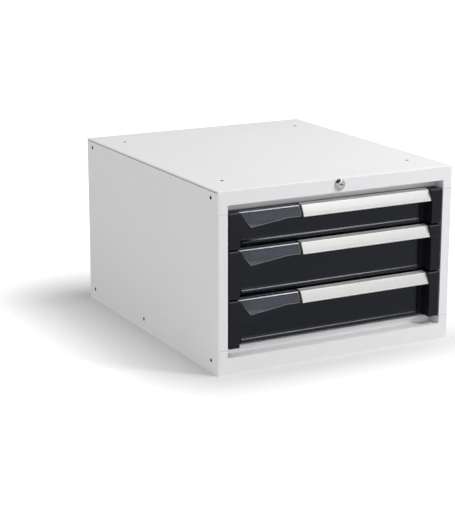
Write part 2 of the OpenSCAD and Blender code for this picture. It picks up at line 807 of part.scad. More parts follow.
module pillar(i, crease_drop, head_w) {
    z0 = front_bottom(i);
    z1 = front_top(i);
    wall = cap_wall;
    difference() {
        union() {
            difference() {
                along_x(pillar_x, cap_x) pillar_outline(i);
                box([pillar_x + wall, front_y + wall, z0 + wall], [cap_x - wall, tray_y0 + past, z1 - wall]);
            }
            box([panel_x + fit_gap, tray_y0 - cap_plate_t, z0], [pillar_x + wall, tray_y0, z1]);
            box([cap_x - wall, tray_y0 - past, z0], [cap_x, tray_y0 + cap_wrap, z1]);
            if (head_w > 0) along_x(pillar_x - head_w, pillar_x + wall) intersection() {
                pillar_outline(i);
                translate([front_y, z1 - crease_drop]) square([panel_recess, crease_drop]);
            }
            cap_bosses(i, 2 * screw_d, front_y + past);
        }
        cap_bosses(i, screw_d, panel_y - cap_bite - past);
        box([pillar_x - head_w - past, front_y - past, z1 - crease_drop - crease_w],
            [cap_x + past, front_y + crease_deep, z1 - crease_drop]);
    }
}

// Posts, or bores in them, for the screws that hold an end cap
module cap_bosses(i, d, y0) {
    for (z = cap_screw_z(i)) cylinder_y(d, y0, tray_y0, cap_screw_x, z);
}

module end_cap_right(i) {
    color(cap_colour) pillar(i, right_crease, head_extra_w);
}

// The bracket's lower edge, seen from the front: a smooth curve from the pillar to the end wall
function curve(p, t) = pow(1 - t, 3) * p[0] + 3 * pow(1 - t, 2) * t * p[1] + 3 * (1 - t) * pow(t, 2) * p[2]
    + pow(t, 3) * p[3];
bracket_low = grip_h + bracket_lip;
bracket_pull_places = [22, 52, 62];
bracket_pull_falls = [0.6, 4];
bracket_foot_lift = 1;
bracket_pulls = [
    [bracket_pull_places[0], left_crease - bracket_pull_falls[0]],
    [bracket_pull_places[1], left_crease - bracket_pull_falls[1]],
    [bracket_pull_places[2], bracket_low + bracket_foot_lift],
    [label_w + end_wall_w, bracket_low]
];
bracket_edge = [for (t = [0 : 0.1 : 1]) curve(bracket_pulls, t)];

module bracket_outline() {
    polygon([for (p = concat(
        [[-past, 0], [0, 0], [cover_corner_in, cover_corner_drop], [cover_flat_in, cover_flat_drop],
         [label_w + end_wall_w, cover_flat_drop]],
        reversed(bracket_edge), [[0, left_crease], [-past, left_crease]])) [label_x0 + p[0], -p[1]]]);
}

// The label cover's outline from the front, drawn in by a gap, or let out by a negative one
module cover_outline(gap) {
    polygon([for (p = [[gap, -past], [gap, 0], [cover_corner_in + gap, cover_corner_drop - 1.6 * gap],
        [cover_flat_in, cover_flat_drop - gap], [label_w - gap, cover_flat_drop - gap],
        [label_w - gap, -past]])
        [label_x0 + p[0], -p[1]]]);
}

module seat_band(front, back) {
    polygon(from_side(concat(cover_line(front), reversed(cover_line(back)))));
}

module end_cap_left(i) {
    notch_pitch = 4.2;
    notch_h = 1.6;
    notch_deep = 3;
    color(cap_colour) difference() {
        union() {
            mirror([1, 0, 0]) pillar(i, left_crease, 0);
            translate([0, 0, front_top(i)]) {
                along_y(front_y, panel_y) bracket_outline();
                intersection() {
                    along_x(label_x0 - past, label_x1 + past)
                        seat_band(seat_inset, seat_inset + seat_wall);
                    along_y(front_y, panel_y) cover_outline(-past);
                }
                along_x(label_x1, label_x1 + end_wall_w)
                    polygon(from_side(concat(grip_line(end_wall_inset), [[-panel_recess, grip_h]])));
            }
        }
        for (k = [0 : 3])
            translate([label_x1 - past, front_y + grip_lean - k * notch_pitch * grip_lean / grip_h - past,
                front_top(i) - grip_drop - notch_deep - k * notch_pitch])
                cube([notch_deep, notch_deep, notch_h]);
    }
}

module label_cover(i) {
    color(smoke_colour) translate([0, 0, front_top(i)]) intersection() {
        along_x(label_x0, label_x1) seat_band(0, cover_wall);
        along_y(front_y - 2 * cover_bulge, panel_y) cover_outline(fit_gap);
    }
}

module label_card(i) {
    color(card_colour) translate([0, 0, front_top(i)]) intersection() {
        along_x(label_x0 + cover_corner_in + card_margin, label_x1 - card_margin)
            seat_band(seat_inset - card_t, seat_inset);
        box([-half_w, front_y, card_foot - grip_h], [half_w, panel_y, -grip_drop - seat_inset - past]);
    }
}

module handle(i) {
    lip_r = grip_lip_d / 2;
    groove = 1;
    foot_lift = 1.5;
    groove_y = front_y + (panel_recess + grip_lean) / 2;
    color(grip_colour) difference() {
        translate([0, 0, front_top(i)]) along_x(handle_x0, handle_x1) difference() {
            union() {
                polygon(from_side(concat(grip_line(0), reversed(grip_line(grip_wall)))));
                translate([front_y + lip_r, -grip_h + lip_r / 2]) circle(lip_r);
                translate([panel_y - grip_wall, foot_lift - grip_h]) square([grip_wall, grip_h - foot_lift]);
            }
            translate([groove_y - groove / 2, -grip_drop - groove / 4]) square([groove, 2 * groove]);
        }
        grip_screw_places(i) cylinder(d = screw_d, h = 2 * (screw_reach + past), center = true);
    }
}

module lock_housing() {
    color(chrome_colour) difference() {
        union() {
            translate([0, front_y, lock_z]) rotate([90, 0, 0]) {
                cylinder(d = lock_head_d, h = lock_proud - head_bevel);
                translate([0, 0, lock_proud - head_bevel])
                    cylinder(d1 = lock_head_d, d2 = plug_face_d + 2 * head_rim, h = head_bevel);
            }
            cylinder_y(barrel_d, front_y - past, front_y + barrel_len, 0, lock_z);
        }
        cylinder_y(plug_d + plug_play, front_y - lock_proud - past, front_y + barrel_len + past, 0, lock_z);
        cylinder_y(plug_face_d + plug_play, front_y - lock_proud - past, front_y - lock_proud + plug_face_h,
            0, lock_z);
    }
}

module lock_nut() {
    color(steel_colour) difference() {
        translate([0, front_y + sheet_t + nut_h, lock_z]) rotate([90, 0, 0])
            cylinder(d = nut_across / cos(30), h = nut_h, $fn = 6);
        cylinder_y(barrel_d, front_y, front_y + barrel_len, 0, lock_z);
    }
}

module lock_plug() {
    face_y = front_y - lock_proud;
    color(chrome_colour) difference() {
        union() {
            cylinder_y(plug_face_d, face_y + plug_set_back, face_y + plug_face_h, 0, lock_z);
            cylinder_y(plug_d, face_y + past, front_y + barrel_len + plug_tail, 0, lock_z);
        }
        intersection() {
            box([-keyway_w / 2, face_y - past, lock_z - keyway_h],
                [keyway_w / 2, face_y + keyway_deep, lock_z + 2 * keyway_h]);
            difference() {
                cylinder_y(2 * (keyway_arc + keyway_h), face_y - past, face_y + keyway_deep, 0,
                    lock_z - keyway_arc);
                cylinder_y(2 * keyway_arc, face_y - 2 * past, face_y + keyway_deep + past, 0,
                    lock_z - keyway_arc);
            }
        }
        cylinder_y(rod_d, rod_y0, front_y + barrel_len + plug_tail + past, 0, lock_z);
    }
}

module lock_rod() {
    color(steel_colour) cylinder_y(rod_d, rod_y0, crank_y1, 0, lock_z);
}

module lock_crank() {
    color(steel_colour) union() {
        difference() {
            union() {
                cylinder_y(crank_d, crank_y0, crank_y1, 0, lock_z);
                cylinder_y(hub_d, crank_y0 - hub_len, crank_y0 + past, 0, lock_z);
            }
            cylinder_y(rod_d, crank_y0 - hub_len - past, crank_y1 + past, 0, lock_z);
        }
        cylinder_y(crank_pin_d, crank_y1 - past, bar_y1 + past, crank_x, lock_z + crank_z);
    }
}

// Two plates that hang under the roof and carry the lock rod
module rod_brackets() {
    color(steel_colour) for (y = [(front_y + back_y) / 2, crank_y0 - hanger_back]) difference() {
        union() {
            box([-hanger_w / 2, y, lock_z - hanger_drop], [hanger_w / 2, y + sheet_t, roof_z]);
            box([-hanger_w / 2, y - flange_w, roof_z - sheet_t], [hanger_w / 2, y + sheet_t, roof_z]);
        }
        cylinder_y(rod_d + rod_play, y - past, y + sheet_t + past, 0, lock_z);
    }
}

// The angle welded to a tray's back, with the lip that the lock bar's hook drops in front of
module lock_catch(i) {
    z0 = tray_top(i) - catch_drop;
    color(steel_colour) union() {
        box([-catch_w / 2, tray_y1, z0 - catch_foot_h], [catch_w / 2, tray_y1 + tray_t, z0 + tray_t]);
        box([-catch_w / 2, tray_y1, z0], [catch_w / 2, catch_y + tray_t, z0 + tray_t]);
        box([-catch_w / 2, catch_y, z0], [catch_w / 2, catch_y + tray_t, catch_top(i)]);
    }
}

function catch_top(i) = tray_top(i) - catch_drop + tray_t + catch_lip_h;
function guide_z(k) = tray_bottom(k) + guide_lift;

module guide_places() {
    for (k = [0, 2]) translate([0, 0, guide_z(k)]) children();
}

module lock_bar() {
    low = tray_bottom(2);
    slot_r = crank_pin_d / 2 + bar_play;
    top = lock_z + crank_z + slot_r + bar_edge;
    hook_y = catch_y - hook_room - bar_t;
    color(steel_colour) difference() {
        union() {
            box([-bar_w / 2, bar_y0, low], [bar_w / 2, bar_y1, top]);
            for (i = [0 : 2]) {
                lip_z = catch_top(i) + hook_room;
                box([-catch_w / 2, hook_y, lip_z], [catch_w / 2, hook_y + bar_t, lip_z + hook_lip_h]);
                box([-catch_w / 2, hook_y, lip_z + hook_lip_h - bar_t],
                    [catch_w / 2, bar_y1, lip_z + hook_lip_h]);
            }
        }
        box([crank_x - slot_r, bar_y0 - past, lock_z + crank_z - slot_r],
            [crank_r + slot_r, bar_y1 + past, lock_z + crank_z + slot_r]);
        guide_places() {
            for (z = [0, bar_stroke])
                cylinder_y(stud_shaft_d + 2 * bar_play, bar_y0 - past, bar_y1 + past, 0, z);
            box([-stud_shaft_d / 2 - bar_play, bar_y0 - past, 0],
                [stud_shaft_d / 2 + bar_play, bar_y1 + past, bar_stroke]);
        }
    }
}

module bar_guides() {
    color(steel_colour) guide_places() {
        cylinder_y(screw_d, back_y - sheet_t - past, back_y, 0, 0);
        cylinder_y(stud_head_d, bar_y1 + bar_play, back_y - sheet_t, 0, 0);
        cylinder_y(stud_shaft_d, bar_y0 - past, bar_y1 + past, 0, 0);
        cylinder_y(stud_head_d, bar_y0 - bar_play - bar_t, bar_y0 - bar_play, 0, 0);
    }
}

top_panel();
side_panel(-1);  // side_panel_left
side_panel(1);  // side_panel_right
bottom_panel();
back_panel();
inner_top_rail();
inner_bottom_rail();
uprights();
casing_screws();
slide_screws();
cabinet_rails(0);  // cabinet_rails_1
cabinet_rails(1);  // cabinet_rails_2
cabinet_rails(2);  // cabinet_rails_3
middle_rails(0);  // middle_rails_1
middle_rails(1);  // middle_rails_2
middle_rails(2);  // middle_rails_3
outer_cages(0);  // outer_cages_1
outer_cages(1);  // outer_cages_2
outer_cages(2);  // outer_cages_3
inner_cages(0);  // inner_cages_1
inner_cages(1);  // inner_cages_2
inner_cages(2);  // inner_cages_3
tray(0);  // tray_1
tray(1);  // tray_2
tray(2);  // tray_3
drawer_rails(0);  // drawer_rails_1
drawer_rails(1);  // drawer_rails_2
drawer_rails(2);  // drawer_rails_3
front_panel(0);  // front_panel_1
front_panel(1);  // front_panel_2
front_panel(2);  // front_panel_3
end_cap_left(0);  // end_cap_left_1
end_cap_left(1);  // end_cap_left_2
end_cap_left(2);  // end_cap_left_3
end_cap_right(0);  // end_cap_right_1
end_cap_right(1);  // end_cap_right_2
end_cap_right(2);  // end_cap_right_3
handle(0);  // handle_1
handle(1);  // handle_2
handle(2);  // handle_3
label_cover(0);  // label_cover_1
label_cover(1);  // label_cover_2
label_cover(2);  // label_cover_3
label_card(0);  // label_card_1
label_card(1);  // label_card_2
label_card(2);  // label_card_3
front_screws(0);  // front_screws_1
front_screws(1);  // front_screws_2
front_screws(2);  // front_screws_3
lock_housing();
lock_nut();
lock_plug();
lock_rod();
lock_crank();
rod_brackets();
lock_bar();
bar_guides();
lock_catch(0);  // lock_catch_1
lock_catch(1);  // lock_catch_2
lock_catch(2);  // lock_catch_3
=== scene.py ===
"""The drawer cabinet on a pale floor, with a procedural finish on every piece. Lengths are in metres."""

import json
import math

import bmesh
import bpy
from mathutils import Matrix, Vector

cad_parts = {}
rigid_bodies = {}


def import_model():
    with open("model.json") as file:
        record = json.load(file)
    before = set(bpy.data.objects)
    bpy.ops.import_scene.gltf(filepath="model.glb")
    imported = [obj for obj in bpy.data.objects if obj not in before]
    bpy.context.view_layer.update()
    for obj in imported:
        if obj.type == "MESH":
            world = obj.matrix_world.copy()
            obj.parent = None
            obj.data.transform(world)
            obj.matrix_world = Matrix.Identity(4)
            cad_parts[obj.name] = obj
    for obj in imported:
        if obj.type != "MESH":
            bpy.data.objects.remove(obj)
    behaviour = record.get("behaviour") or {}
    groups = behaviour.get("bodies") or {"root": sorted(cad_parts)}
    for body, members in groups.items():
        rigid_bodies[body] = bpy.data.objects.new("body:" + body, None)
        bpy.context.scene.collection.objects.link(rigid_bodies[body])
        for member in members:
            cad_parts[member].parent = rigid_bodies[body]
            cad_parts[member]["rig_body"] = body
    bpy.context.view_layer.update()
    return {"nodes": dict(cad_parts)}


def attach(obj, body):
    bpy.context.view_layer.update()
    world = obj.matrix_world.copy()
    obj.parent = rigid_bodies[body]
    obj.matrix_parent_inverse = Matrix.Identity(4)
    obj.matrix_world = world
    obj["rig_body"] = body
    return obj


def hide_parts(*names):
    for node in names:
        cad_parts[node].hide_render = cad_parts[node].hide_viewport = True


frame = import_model()
nodes = frame["nodes"]
drawers = (1, 2, 3)

# The photograph's camera, fitted to the casing's corners
image_w = 455
image_h = 512
focal_px = 1564
azimuth = math.radians(-27.88)
elevation = math.radians(14.79)
distance = 3.171
aim_right = -0.0683
aim_up = 0.1216
aim_depth = 0.0021
sensor = 36
clip_end = 50

# The level of the room's light, and each lamp's place, diameter and power in watts
room_light = 0.36
lamp_aim = (0, 0, 0.2)
lamps = {
    "key": ((0.9, -0.3, 2.6), 1.2, 21),
    "front_box": ((1.27, -1.68, 2.05), 0.7, 28),
    "left_fill": ((-2.9, 0.1, 1.0), 2.4, 23),
    "low_fill": ((0.35, -3.2, 0.5), 2.0, 18),
}

# The floor, and how much it is lifted towards white at the cabinet's foot and at far_reach outside it.
# foot_half is half the width and depth of the foot.
floor_rgb = (0.8, 0.8, 0.8)
floor_half = 20
floor_lift_near = 0.0
floor_lift_far = 0.8
far_reach = 0.33
foot_half = (0.25, 0.293)

# The colours of the finishes, as linear light
casing_rgb = (0.80, 0.80, 0.81)
front_rgb = (0.0025, 0.0030, 0.0050)
cap_rgb = (0.0090, 0.0095, 0.0130)
grip_rgb = (0.545, 0.537, 0.530)
smoke_rgb = (0.070, 0.076, 0.100)
card_rgb = (0.16, 0.165, 0.185)
steel_rgb = (0.62, 0.63, 0.64)
bright_rgb = (0.70, 0.70, 0.71)
chrome_rgb = (0.52, 0.51, 0.50)
# Painted shade for the walls of holes and of the groove under the roof
shade_rgb = (0.012, 0.012, 0.012)
# A painted highlight on the covers' edges and folds
painted_edge_highlight_rgb = (0.78, 0.80, 0.85)
smoke_alpha = 0.55

# Small radii on the edges, by kind of piece
sheet_edge = 0.0002
front_edge = 0.0005
cap_edge = 0.0006
grip_edge = 0.0004
cover_edge = 0.0008
lock_edge = 0.0003
edge_steps = 2

# Points nearer than this are one point, or lie in one plane
same_place = 0.000005

# Points nearer than this are one point when a node is taken apart into its solids
join_reach = 0.000002

# In degrees: faces that turn less are one flat face, and edges that turn more get a small radius
flat_angle = 0.2
round_angle = 32

# How far up the faces of a cover's upper front fold are turned, in degrees, for them to get the painted
# highlight
fold_tilts = (30, 80)

# A face whose normal has less of X than this runs along the cabinet's width
end_face_x = 0.1

# The faces along the wall of a hole are smaller than this, in square metres
hole_facet = 0.000001

# Points of a screw further out than this share of its head's radius are the head's rim
rim_share = 0.95

# A screw's dome starts at a share of the head's height. The head's foot is drawn in to a share of its
# radius, up to a share of its height. The shaft's end is chamfered by a share of the shaft's radius.
dome_foot = 0.45
dome_steps = 6
dome_step = math.radians(15)
foot_r = 0.97
foot_h = 0.06
shaft_chamfer = 0.12

# Edges of a screw that turn more than this stay sharp
smooth_angle = math.radians(30)

# The cross recess at its foot and above the head: its height as a share of the head's height, and its
# half length and half width as shares of the head's radius
recess_levels = ((0.25, 0.22, 0.08), (1.2, 0.62, 0.15))

# The corners of a square about the origin, and the way up
square = ((-1, -1), (1, -1), (1, 1), (-1, 1))
up = (0, 0, 1)


def view_axes():
    """Right, up and back of the camera, in the row frame."""
    back = Vector((
        math.sin(azimuth) * math.cos(elevation),
        -math.cos(azimuth) * math.cos(elevation),
        math.sin(elevation),
    ))
    right = Vector((math.cos(azimuth), math.sin(azimuth), 0))
    return right, back.cross(right), back


def add_camera():
    right, above, back = view_axes()
    data = bpy.data.cameras.new("camera")
    data.sensor_width = sensor
    data.lens = focal_px / max(image_w, image_h) * sensor
    data.clip_end = clip_end
    camera = bpy.data.objects.new("camera", data)
    aim = right * aim_right + above * aim_up + Vector((0, aim_depth, 0))
    turn = Matrix((right, above, back)).transposed().to_4x4()
    camera.matrix_world = Matrix.Translation(aim + back * distance) @ turn
    bpy.context.scene.collection.objects.link(camera)
    bpy.context.scene.camera = camera


class Finish:
    """A Principled material and the few ways in which the finishes here vary it."""

    def __init__(self, name, rgb, roughness, **sockets):
        self.material = bpy.data.materials.new(name)
        self.material.use_nodes = True
        self.tree = self.material.node_tree
        self.shader = self.tree.nodes["Principled BSDF"]
        self.rgb = rgb
        self.shader.inputs["Base Color"].default_value = (*rgb, 1)
        self.shader.inputs["Roughness"].default_value = roughness
        for socket, value in sockets.items():
            self.shader.inputs[socket.replace("_", " ")].default_value = value
        self.place = self.node("ShaderNodeTexCoord").outputs["Object"]
        self.last_normal = None

    def node(self, kind, operation=None):
        made = self.tree.nodes.new(kind)
        if operation:
            made.operation = operation
        return made

    def link(self, a, b):
        self.tree.links.new(a, b)

    def noise(self, scale, stretch=(1, 1, 1), detail=2):
        """Noise with that many features in a metre, drawn out along an axis by a small stretch."""
        mapping = self.node("ShaderNodeMapping")
        mapping.inputs["Scale"].default_value = stretch
        self.link(self.place, mapping.inputs["Vector"])
        noise = self.node("ShaderNodeTexNoise")
        noise.inputs["Scale"].default_value = scale
        noise.inputs["Detail"].default_value = detail
        self.link(mapping.outputs["Vector"], noise.inputs["Vector"])
        return noise.outputs["Fac"]

    def cells(self, scale):
        cells = self.node("ShaderNodeTexVoronoi")
        cells.inputs["Scale"].default_value = scale
        self.link(self.place, cells.inputs["Vector"])
        return cells.outputs["Distance"]

    def turned(self, way, along=0):
        """How much a face is turned a given way, plus its place on X times a factor."""
        faces = self.node("ShaderNodeNewGeometry")
        facing = self.node("ShaderNodeVectorMath", "DOT_PRODUCT")
        facing.inputs[1].default_value = way
        self.link(faces.outputs["Normal"], facing.inputs[0])
        parts = self.node("ShaderNodeSeparateXYZ")
        self.link(self.place, parts.inputs["Vector"])
        total = self.node("ShaderNodeMath", "MULTIPLY_ADD")
        total.inputs[1].default_value = along
        self.link(parts.outputs["X"], total.inputs[0])
        self.link(facing.outputs["Value"], total.inputs[2])
        return total.outputs["Value"]

    def outside(self, half):
        """How far a point of the floor lies outside a rectangle with these half sides."""
        away = self.place
        steps = (("ABSOLUTE", (0, 0)), ("SUBTRACT", half), ("MAXIMUM", (0, 0)), ("LENGTH", (0, 0)))
        for operation, other in steps:
            step = self.node("ShaderNodeVectorMath", operation)
            step.inputs[1].default_value = (*other, 0)
            self.link(away, step.inputs[0])
            away = step.outputs[0]
        return step.outputs["Value"]

    def spread(self, value, low, high, start=0.3, end=0.7):
        """The value's part from start to end, spread from low to high."""
        ramp = self.node("ShaderNodeMapRange")
        ramp.inputs["From Min"].default_value = start
        ramp.inputs["From Max"].default_value = end
        ramp.inputs["To Min"].default_value = low
        ramp.inputs["To Max"].default_value = high
        self.link(value, ramp.inputs["Value"])
        return ramp.outputs["Result"]

    def vary_roughness(self, value, low, high):
        self.link(self.spread(value, low, high), self.shader.inputs["Roughness"])
        return self

    def vary_colour(self, value, tint, start=0.3, end=0.7):
        """The colour goes from its own to its tinted form while the value goes from start to end."""
        mix = self.node("ShaderNodeMix")
        mix.data_type = "RGBA"
        mix.inputs["A"].default_value = (*self.rgb, 1)
        mix.inputs["B"].default_value = (*(c * t for c, t in zip(self.rgb, tint)), 1)
        self.link(self.spread(value, 0, 1, start, end), mix.inputs["Factor"])
        self.link(mix.outputs["Result"], self.shader.inputs["Base Color"])
        return self

    def bump(self, value, height, strength=1):
        bump = self.node("ShaderNodeBump")
        bump.inputs["Distance"].default_value = height
        bump.inputs["Strength"].default_value = strength
        self.link(value, bump.inputs["Height"])
        if self.last_normal is not None:
            self.link(self.last_normal, bump.inputs["Normal"])
        self.last_normal = bump.outputs["Normal"]
        self.link(self.last_normal, self.shader.inputs["Normal"])
        return self


def powder_coat(name="powder_coat", top_painted_light=None):
    """Light powder coat with an even orange peel and a fine grain, and perhaps painted light that pales its
    upper faces.
    """
    finish = Finish(name, casing_rgb, 0.55, Specular_IOR_Level=0.3)
    finish.vary_roughness(finish.noise(9), low=0.5, high=0.6)
    if top_painted_light:
        # Painted light: faces turned up are made paler
        finish.vary_colour(finish.turned(up), top_painted_light, start=0.5, end=0.95)
    else:
        finish.vary_colour(finish.noise(5), (0.985, 0.985, 0.99))
    finish.bump(finish.noise(420), height=0.00006, strength=0.5)
    return finish.bump(finish.noise(1900), height=0.00002, strength=0.6).material


def hole_shade():
    """Painted shade on the walls of the narrow holes and of the groove under the roof."""
    finish = Finish("hole_shade", shade_rgb, 0.8, Specular_IOR_Level=0.1)
    finish.vary_roughness(finish.noise(200), low=0.7, high=0.9)
    return finish.bump(finish.noise(900), height=0.00002, strength=0.3).material


def satin_paint():
    """Dark satin paint of the drawer fronts, smoother than the powder coat."""
    finish = Finish("satin_paint", front_rgb, 0.22, Specular_IOR_Level=0.28, Specular_Tint=(0.86, 0.9, 1, 1))
    finish.vary_roughness(finish.noise(14), low=0.2, high=0.26)
    finish.vary_colour(finish.noise(7), (1.12, 1.12, 1.1))
    return finish.bump(finish.noise(800), height=0.00003, strength=0.5).material


def moulded_plastic():
    """Anthracite plastic with the fine grain of its mould, and a painted highlight on its upper front
    roundings.
    """
    finish = Finish("moulded_plastic", cap_rgb, 0.42, Specular_IOR_Level=0.15)
    finish.vary_roughness(finish.noise(30), low=0.38, high=0.48)
    # Painted highlight: faces turned up and to the front are made much paler
    finish.vary_colour(finish.turned((0, -0.6, 0.8)), (9, 9, 9), start=0.88, end=0.98)
    return finish.bump(finish.cells(1500), height=0.00005, strength=0.35).material


def anodised_aluminium():
    """Satin anodised profile with fine draw lines along its length, and painted light that pales its top."""
    finish = Finish("anodised_aluminium", grip_rgb, 0.38, Metallic=0.3)
    lines = finish.noise(60, stretch=(0.06, 14, 14), detail=4)
    finish.vary_roughness(lines, low=0.34, high=0.46)
    # Painted light: faces turned up are made paler
    finish.vary_colour(finish.turned(up), (1.35, 1.35, 1.36), start=0.6, end=0.95)
    return finish.bump(lines, height=0.00003, strength=0.4).material


def smoked_plastic():
    """Smoked clear plastic of the covers, slightly wavy."""
    finish = Finish("smoked_plastic", smoke_rgb, 0.07, Alpha=smoke_alpha, IOR=1.49)
    finish.vary_roughness(finish.noise(40), low=0.05, high=0.1)
    return finish.bump(finish.noise(60), height=0.00001, strength=0.1).material


def painted_edge_highlight():
    """A painted highlight on the cover's edges and fold, fading to painted shade where they turn down and to
    the right.
    """
    finish = Finish("painted_edge_highlight", painted_edge_highlight_rgb, 0.2)
    finish.vary_roughness(finish.noise(90), low=0.15, high=0.3)
    # Painted shade where faces turn down and to the right, and towards the left of the cabinet
    finish.vary_colour(finish.turned((-1, 0, 1), along=4), (0.12, 0.12, 0.13), start=0.4, end=-1.4)
    return finish.bump(finish.noise(300), height=0.00002, strength=0.3).material


def plain_card():
    """Blank card with faint fibres."""
    finish = Finish("plain_card", card_rgb, 0.8)
    fibres = finish.noise(500, stretch=(0.3, 1, 1), detail=4)
    finish.vary_colour(fibres, (0.93, 0.93, 0.93))
    return finish.bump(fibres, height=0.00001, strength=0.2).material


def zinc_plate():
    """Zinc-plated steel, with the plating's faint cloudy patches and rolling lines."""
    finish = Finish("zinc_plate", steel_rgb, 0.32, Metallic=1)
    lines = finish.noise(90, stretch=(8, 0.08, 8), detail=3)
    finish.vary_roughness(lines, low=0.26, high=0.4)
    finish.vary_colour(finish.noise(25), (0.9, 0.92, 0.97))
    return finish.bump(lines, height=0.00002, strength=0.4).material


def bright_steel():
    """Ground steel of the balls and their cages."""
    finish = Finish("bright_steel", bright_rgb, 0.2, Metallic=1)
    finish.vary_roughness(finish.noise(70), low=0.14, high=0.26)
    return finish.bump(finish.noise(900), height=0.00001, strength=0.4).material


def chrome():
    """Polished chrome, with a painted dark reflection where its bevel is turned up to the left."""
    finish = Finish("polished_chrome", chrome_rgb, 0.08, Metallic=1)
    finish.vary_roughness(finish.noise(160, detail=4), low=0.05, high=0.13)
    # Painted reflection: faces turned up and to the left are made dark, as if they reflected something dark
    finish.vary_colour(finish.turned((-0.53, 0, 0.848)), (0.08, 0.08, 0.08), start=0.635, end=0.665)
    return finish.bump(finish.noise(1200), height=0.00001, strength=0.3).material


def islands(node):
    """The separate solids of a CAD node, each as a list of its points."""
    mesh = bmesh.new()
    mesh.from_mesh(nodes[node].data)
    bmesh.ops.remove_doubles(mesh, verts=mesh.verts, dist=join_reach)
    left = set(mesh.verts)
    found = []
    while left:
        stack = [left.pop()]
        points = []
        while stack:
            vert = stack.pop()
            points.append(vert.co.copy())
            for edge in vert.link_edges:
                other = edge.other_vert(vert)
                if other in left:
                    left.remove(other)
                    stack.append(other)
        found.append(points)
    mesh.free()
    return found


class Seat:
    """Where one of a CAD node's screws sits: its bearing plane, its way out, and its sizes."""

    def __init__(self, points):
        low = Vector([min(p[a] for p in points) for a in range(3)])
        high = Vector([max(p[a] for p in points) for a in range(3)])
        size = high - low
        middle = (low + high) / 2
        self.axis = min(range(3), key=lambda a: abs(size[(a + 1) % 3] - size[(a + 2) % 3]))
        self.head_r = size[(self.axis + 1) % 3] / 2

        def reach(point):
            across = point - middle
            across[self.axis] = 0
            return across.length

        rim = [p[self.axis] for p in points if reach(p) > rim_share * self.head_r]
        shaft = [reach(p) for p in points if reach(p) < rim_share * self.head_r]
        self.shaft_r = max(shaft)
        self.way = 1 if sum(rim) / len(rim) > middle[self.axis] else -1
        self.plane = min(rim) if self.way > 0 else max(rim)
        self.head_h = max(rim) - min(rim)
        self.length = size[self.axis] - self.head_h
        self.place = middle.copy()
        self.place[self.axis] = self.plane

    def matrix(self):
        out = Vector((0, 0, 0))
        out[self.axis] = self.way
        return Matrix.Translation(self.place) @ out.to_track_quat("Z", "Y").to_matrix().to_4x4()


def lathe(mesh, profile, steps=32):
    """Turns a profile of (radius, height) points about Z. Points on the axis close it."""
    rings = []
    for radius, height in profile:
        if radius == 0:
            rings.append([mesh.verts.new((0, 0, height))])
            continue
        turns = (2 * math.pi * k / steps for k in range(steps))
        rings.append([mesh.verts.new((radius * math.cos(t), radius * math.sin(t), height)) for t in turns])
    for low, high in zip(rings, rings[1:]):
        for k in range(steps):
            after = k + 1
            corners = [low[k % len(low)], low[after % len(low)], high[after % len(high)], high[k % len(high)]]
            mesh.faces.new(list(dict.fromkeys(corners)))


def cross_recess(mesh, seat):
    """The tapered cross that the driver turns, as a solid to cut from the head."""
    for turn in (0, math.pi / 2):
        spin = Matrix.Rotation(turn, 3, "Z")
        corners = []
        for height, length, width in recess_levels:
            for x, y in square:
                corner = Vector((x * length * seat.head_r, y * width * seat.head_r, height * seat.head_h))
                corners.append(mesh.verts.new(spin @ corner))
        low, high = corners[:4], corners[4:]
        mesh.faces.new(low[::-1])
        mesh.faces.new(high)
        for k in range(4):
            mesh.faces.new((low[k], low[(k + 1) % 4], high[(k + 1) % 4], high[k]))


def as_object(name, mesh):
    data = bpy.data.meshes.new(name)
    mesh.to_mesh(data)
    mesh.free()
    piece = bpy.data.objects.new(name, data)
    bpy.context.scene.collection.objects.link(piece)
    return piece


def applied(piece):
    """The mesh of a piece with its modifiers in it."""
    graph = bpy.context.evaluated_depsgraph_get()
    graph.update()
    return bpy.data.meshes.new_from_object(piece.evaluated_get(graph))


def screw_profile(seat):
    """A screw's outline from its shaft's end up to the top of its domed head."""
    chamfer = shaft_chamfer * seat.shaft_r
    shaft = [
        (0, -seat.length),
        (seat.shaft_r - chamfer, -seat.length),
        (seat.shaft_r, chamfer - seat.length),
        (seat.shaft_r, 0),
    ]
    foot = [(foot_r * seat.head_r, 0), (seat.head_r, foot_h * seat.head_h)]
    dome = []
    for k in range(dome_steps):
        turn = k * dome_step
        height = dome_foot + (1 - dome_foot) * math.sin(turn)
        dome.append((seat.head_r * math.cos(turn), height * seat.head_h))
    return shaft + foot + dome + [(0, seat.head_h)]


def screw_mesh(seat):
    """A domed screw head with its cross recess, on a shaft whose end is chamfered."""
    blank = bmesh.new()
    lathe(blank, screw_profile(seat))
    bmesh.ops.recalc_face_normals(blank, faces=blank.faces)
    head = as_object("screw_blank", blank)
    cut = bmesh.new()
    cross_recess(cut, seat)
    bmesh.ops.recalc_face_normals(cut, faces=cut.faces)
    tool = as_object("screw_recess", cut)
    recess = head.modifiers.new("recess", "BOOLEAN")
    recess.operation = "DIFFERENCE"
    recess.solver = "EXACT"
    recess.use_self = True
    recess.object = tool
    made = applied(head)
    bpy.data.objects.remove(head)
    bpy.data.objects.remove(tool)
    return made


def add_screws(node, material):
    """Detailed screws in the places of a CAD node's screws, as one piece."""
    joined = bmesh.new()
    made = {}
    for seat in map(Seat, islands(node)):
        key = (round(seat.length, 5), round(seat.head_r, 5))
        if key not in made:
            made[key] = screw_mesh(seat)
        start = len(joined.verts)
        joined.from_mesh(made[key])
        joined.verts.ensure_lookup_table()
        bmesh.ops.transform(joined, matrix=seat.matrix(), verts=joined.verts[start:])
    screws = as_object(node + "_turned", joined)
    screws.data.materials.clear()
    screws.data.materials.append(material)
    for face in screws.data.polygons:
        face.use_smooth = True
    screws.data.set_sharp_from_angle(angle=smooth_angle)
    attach(screws, nodes[node]["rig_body"])
    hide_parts(node)


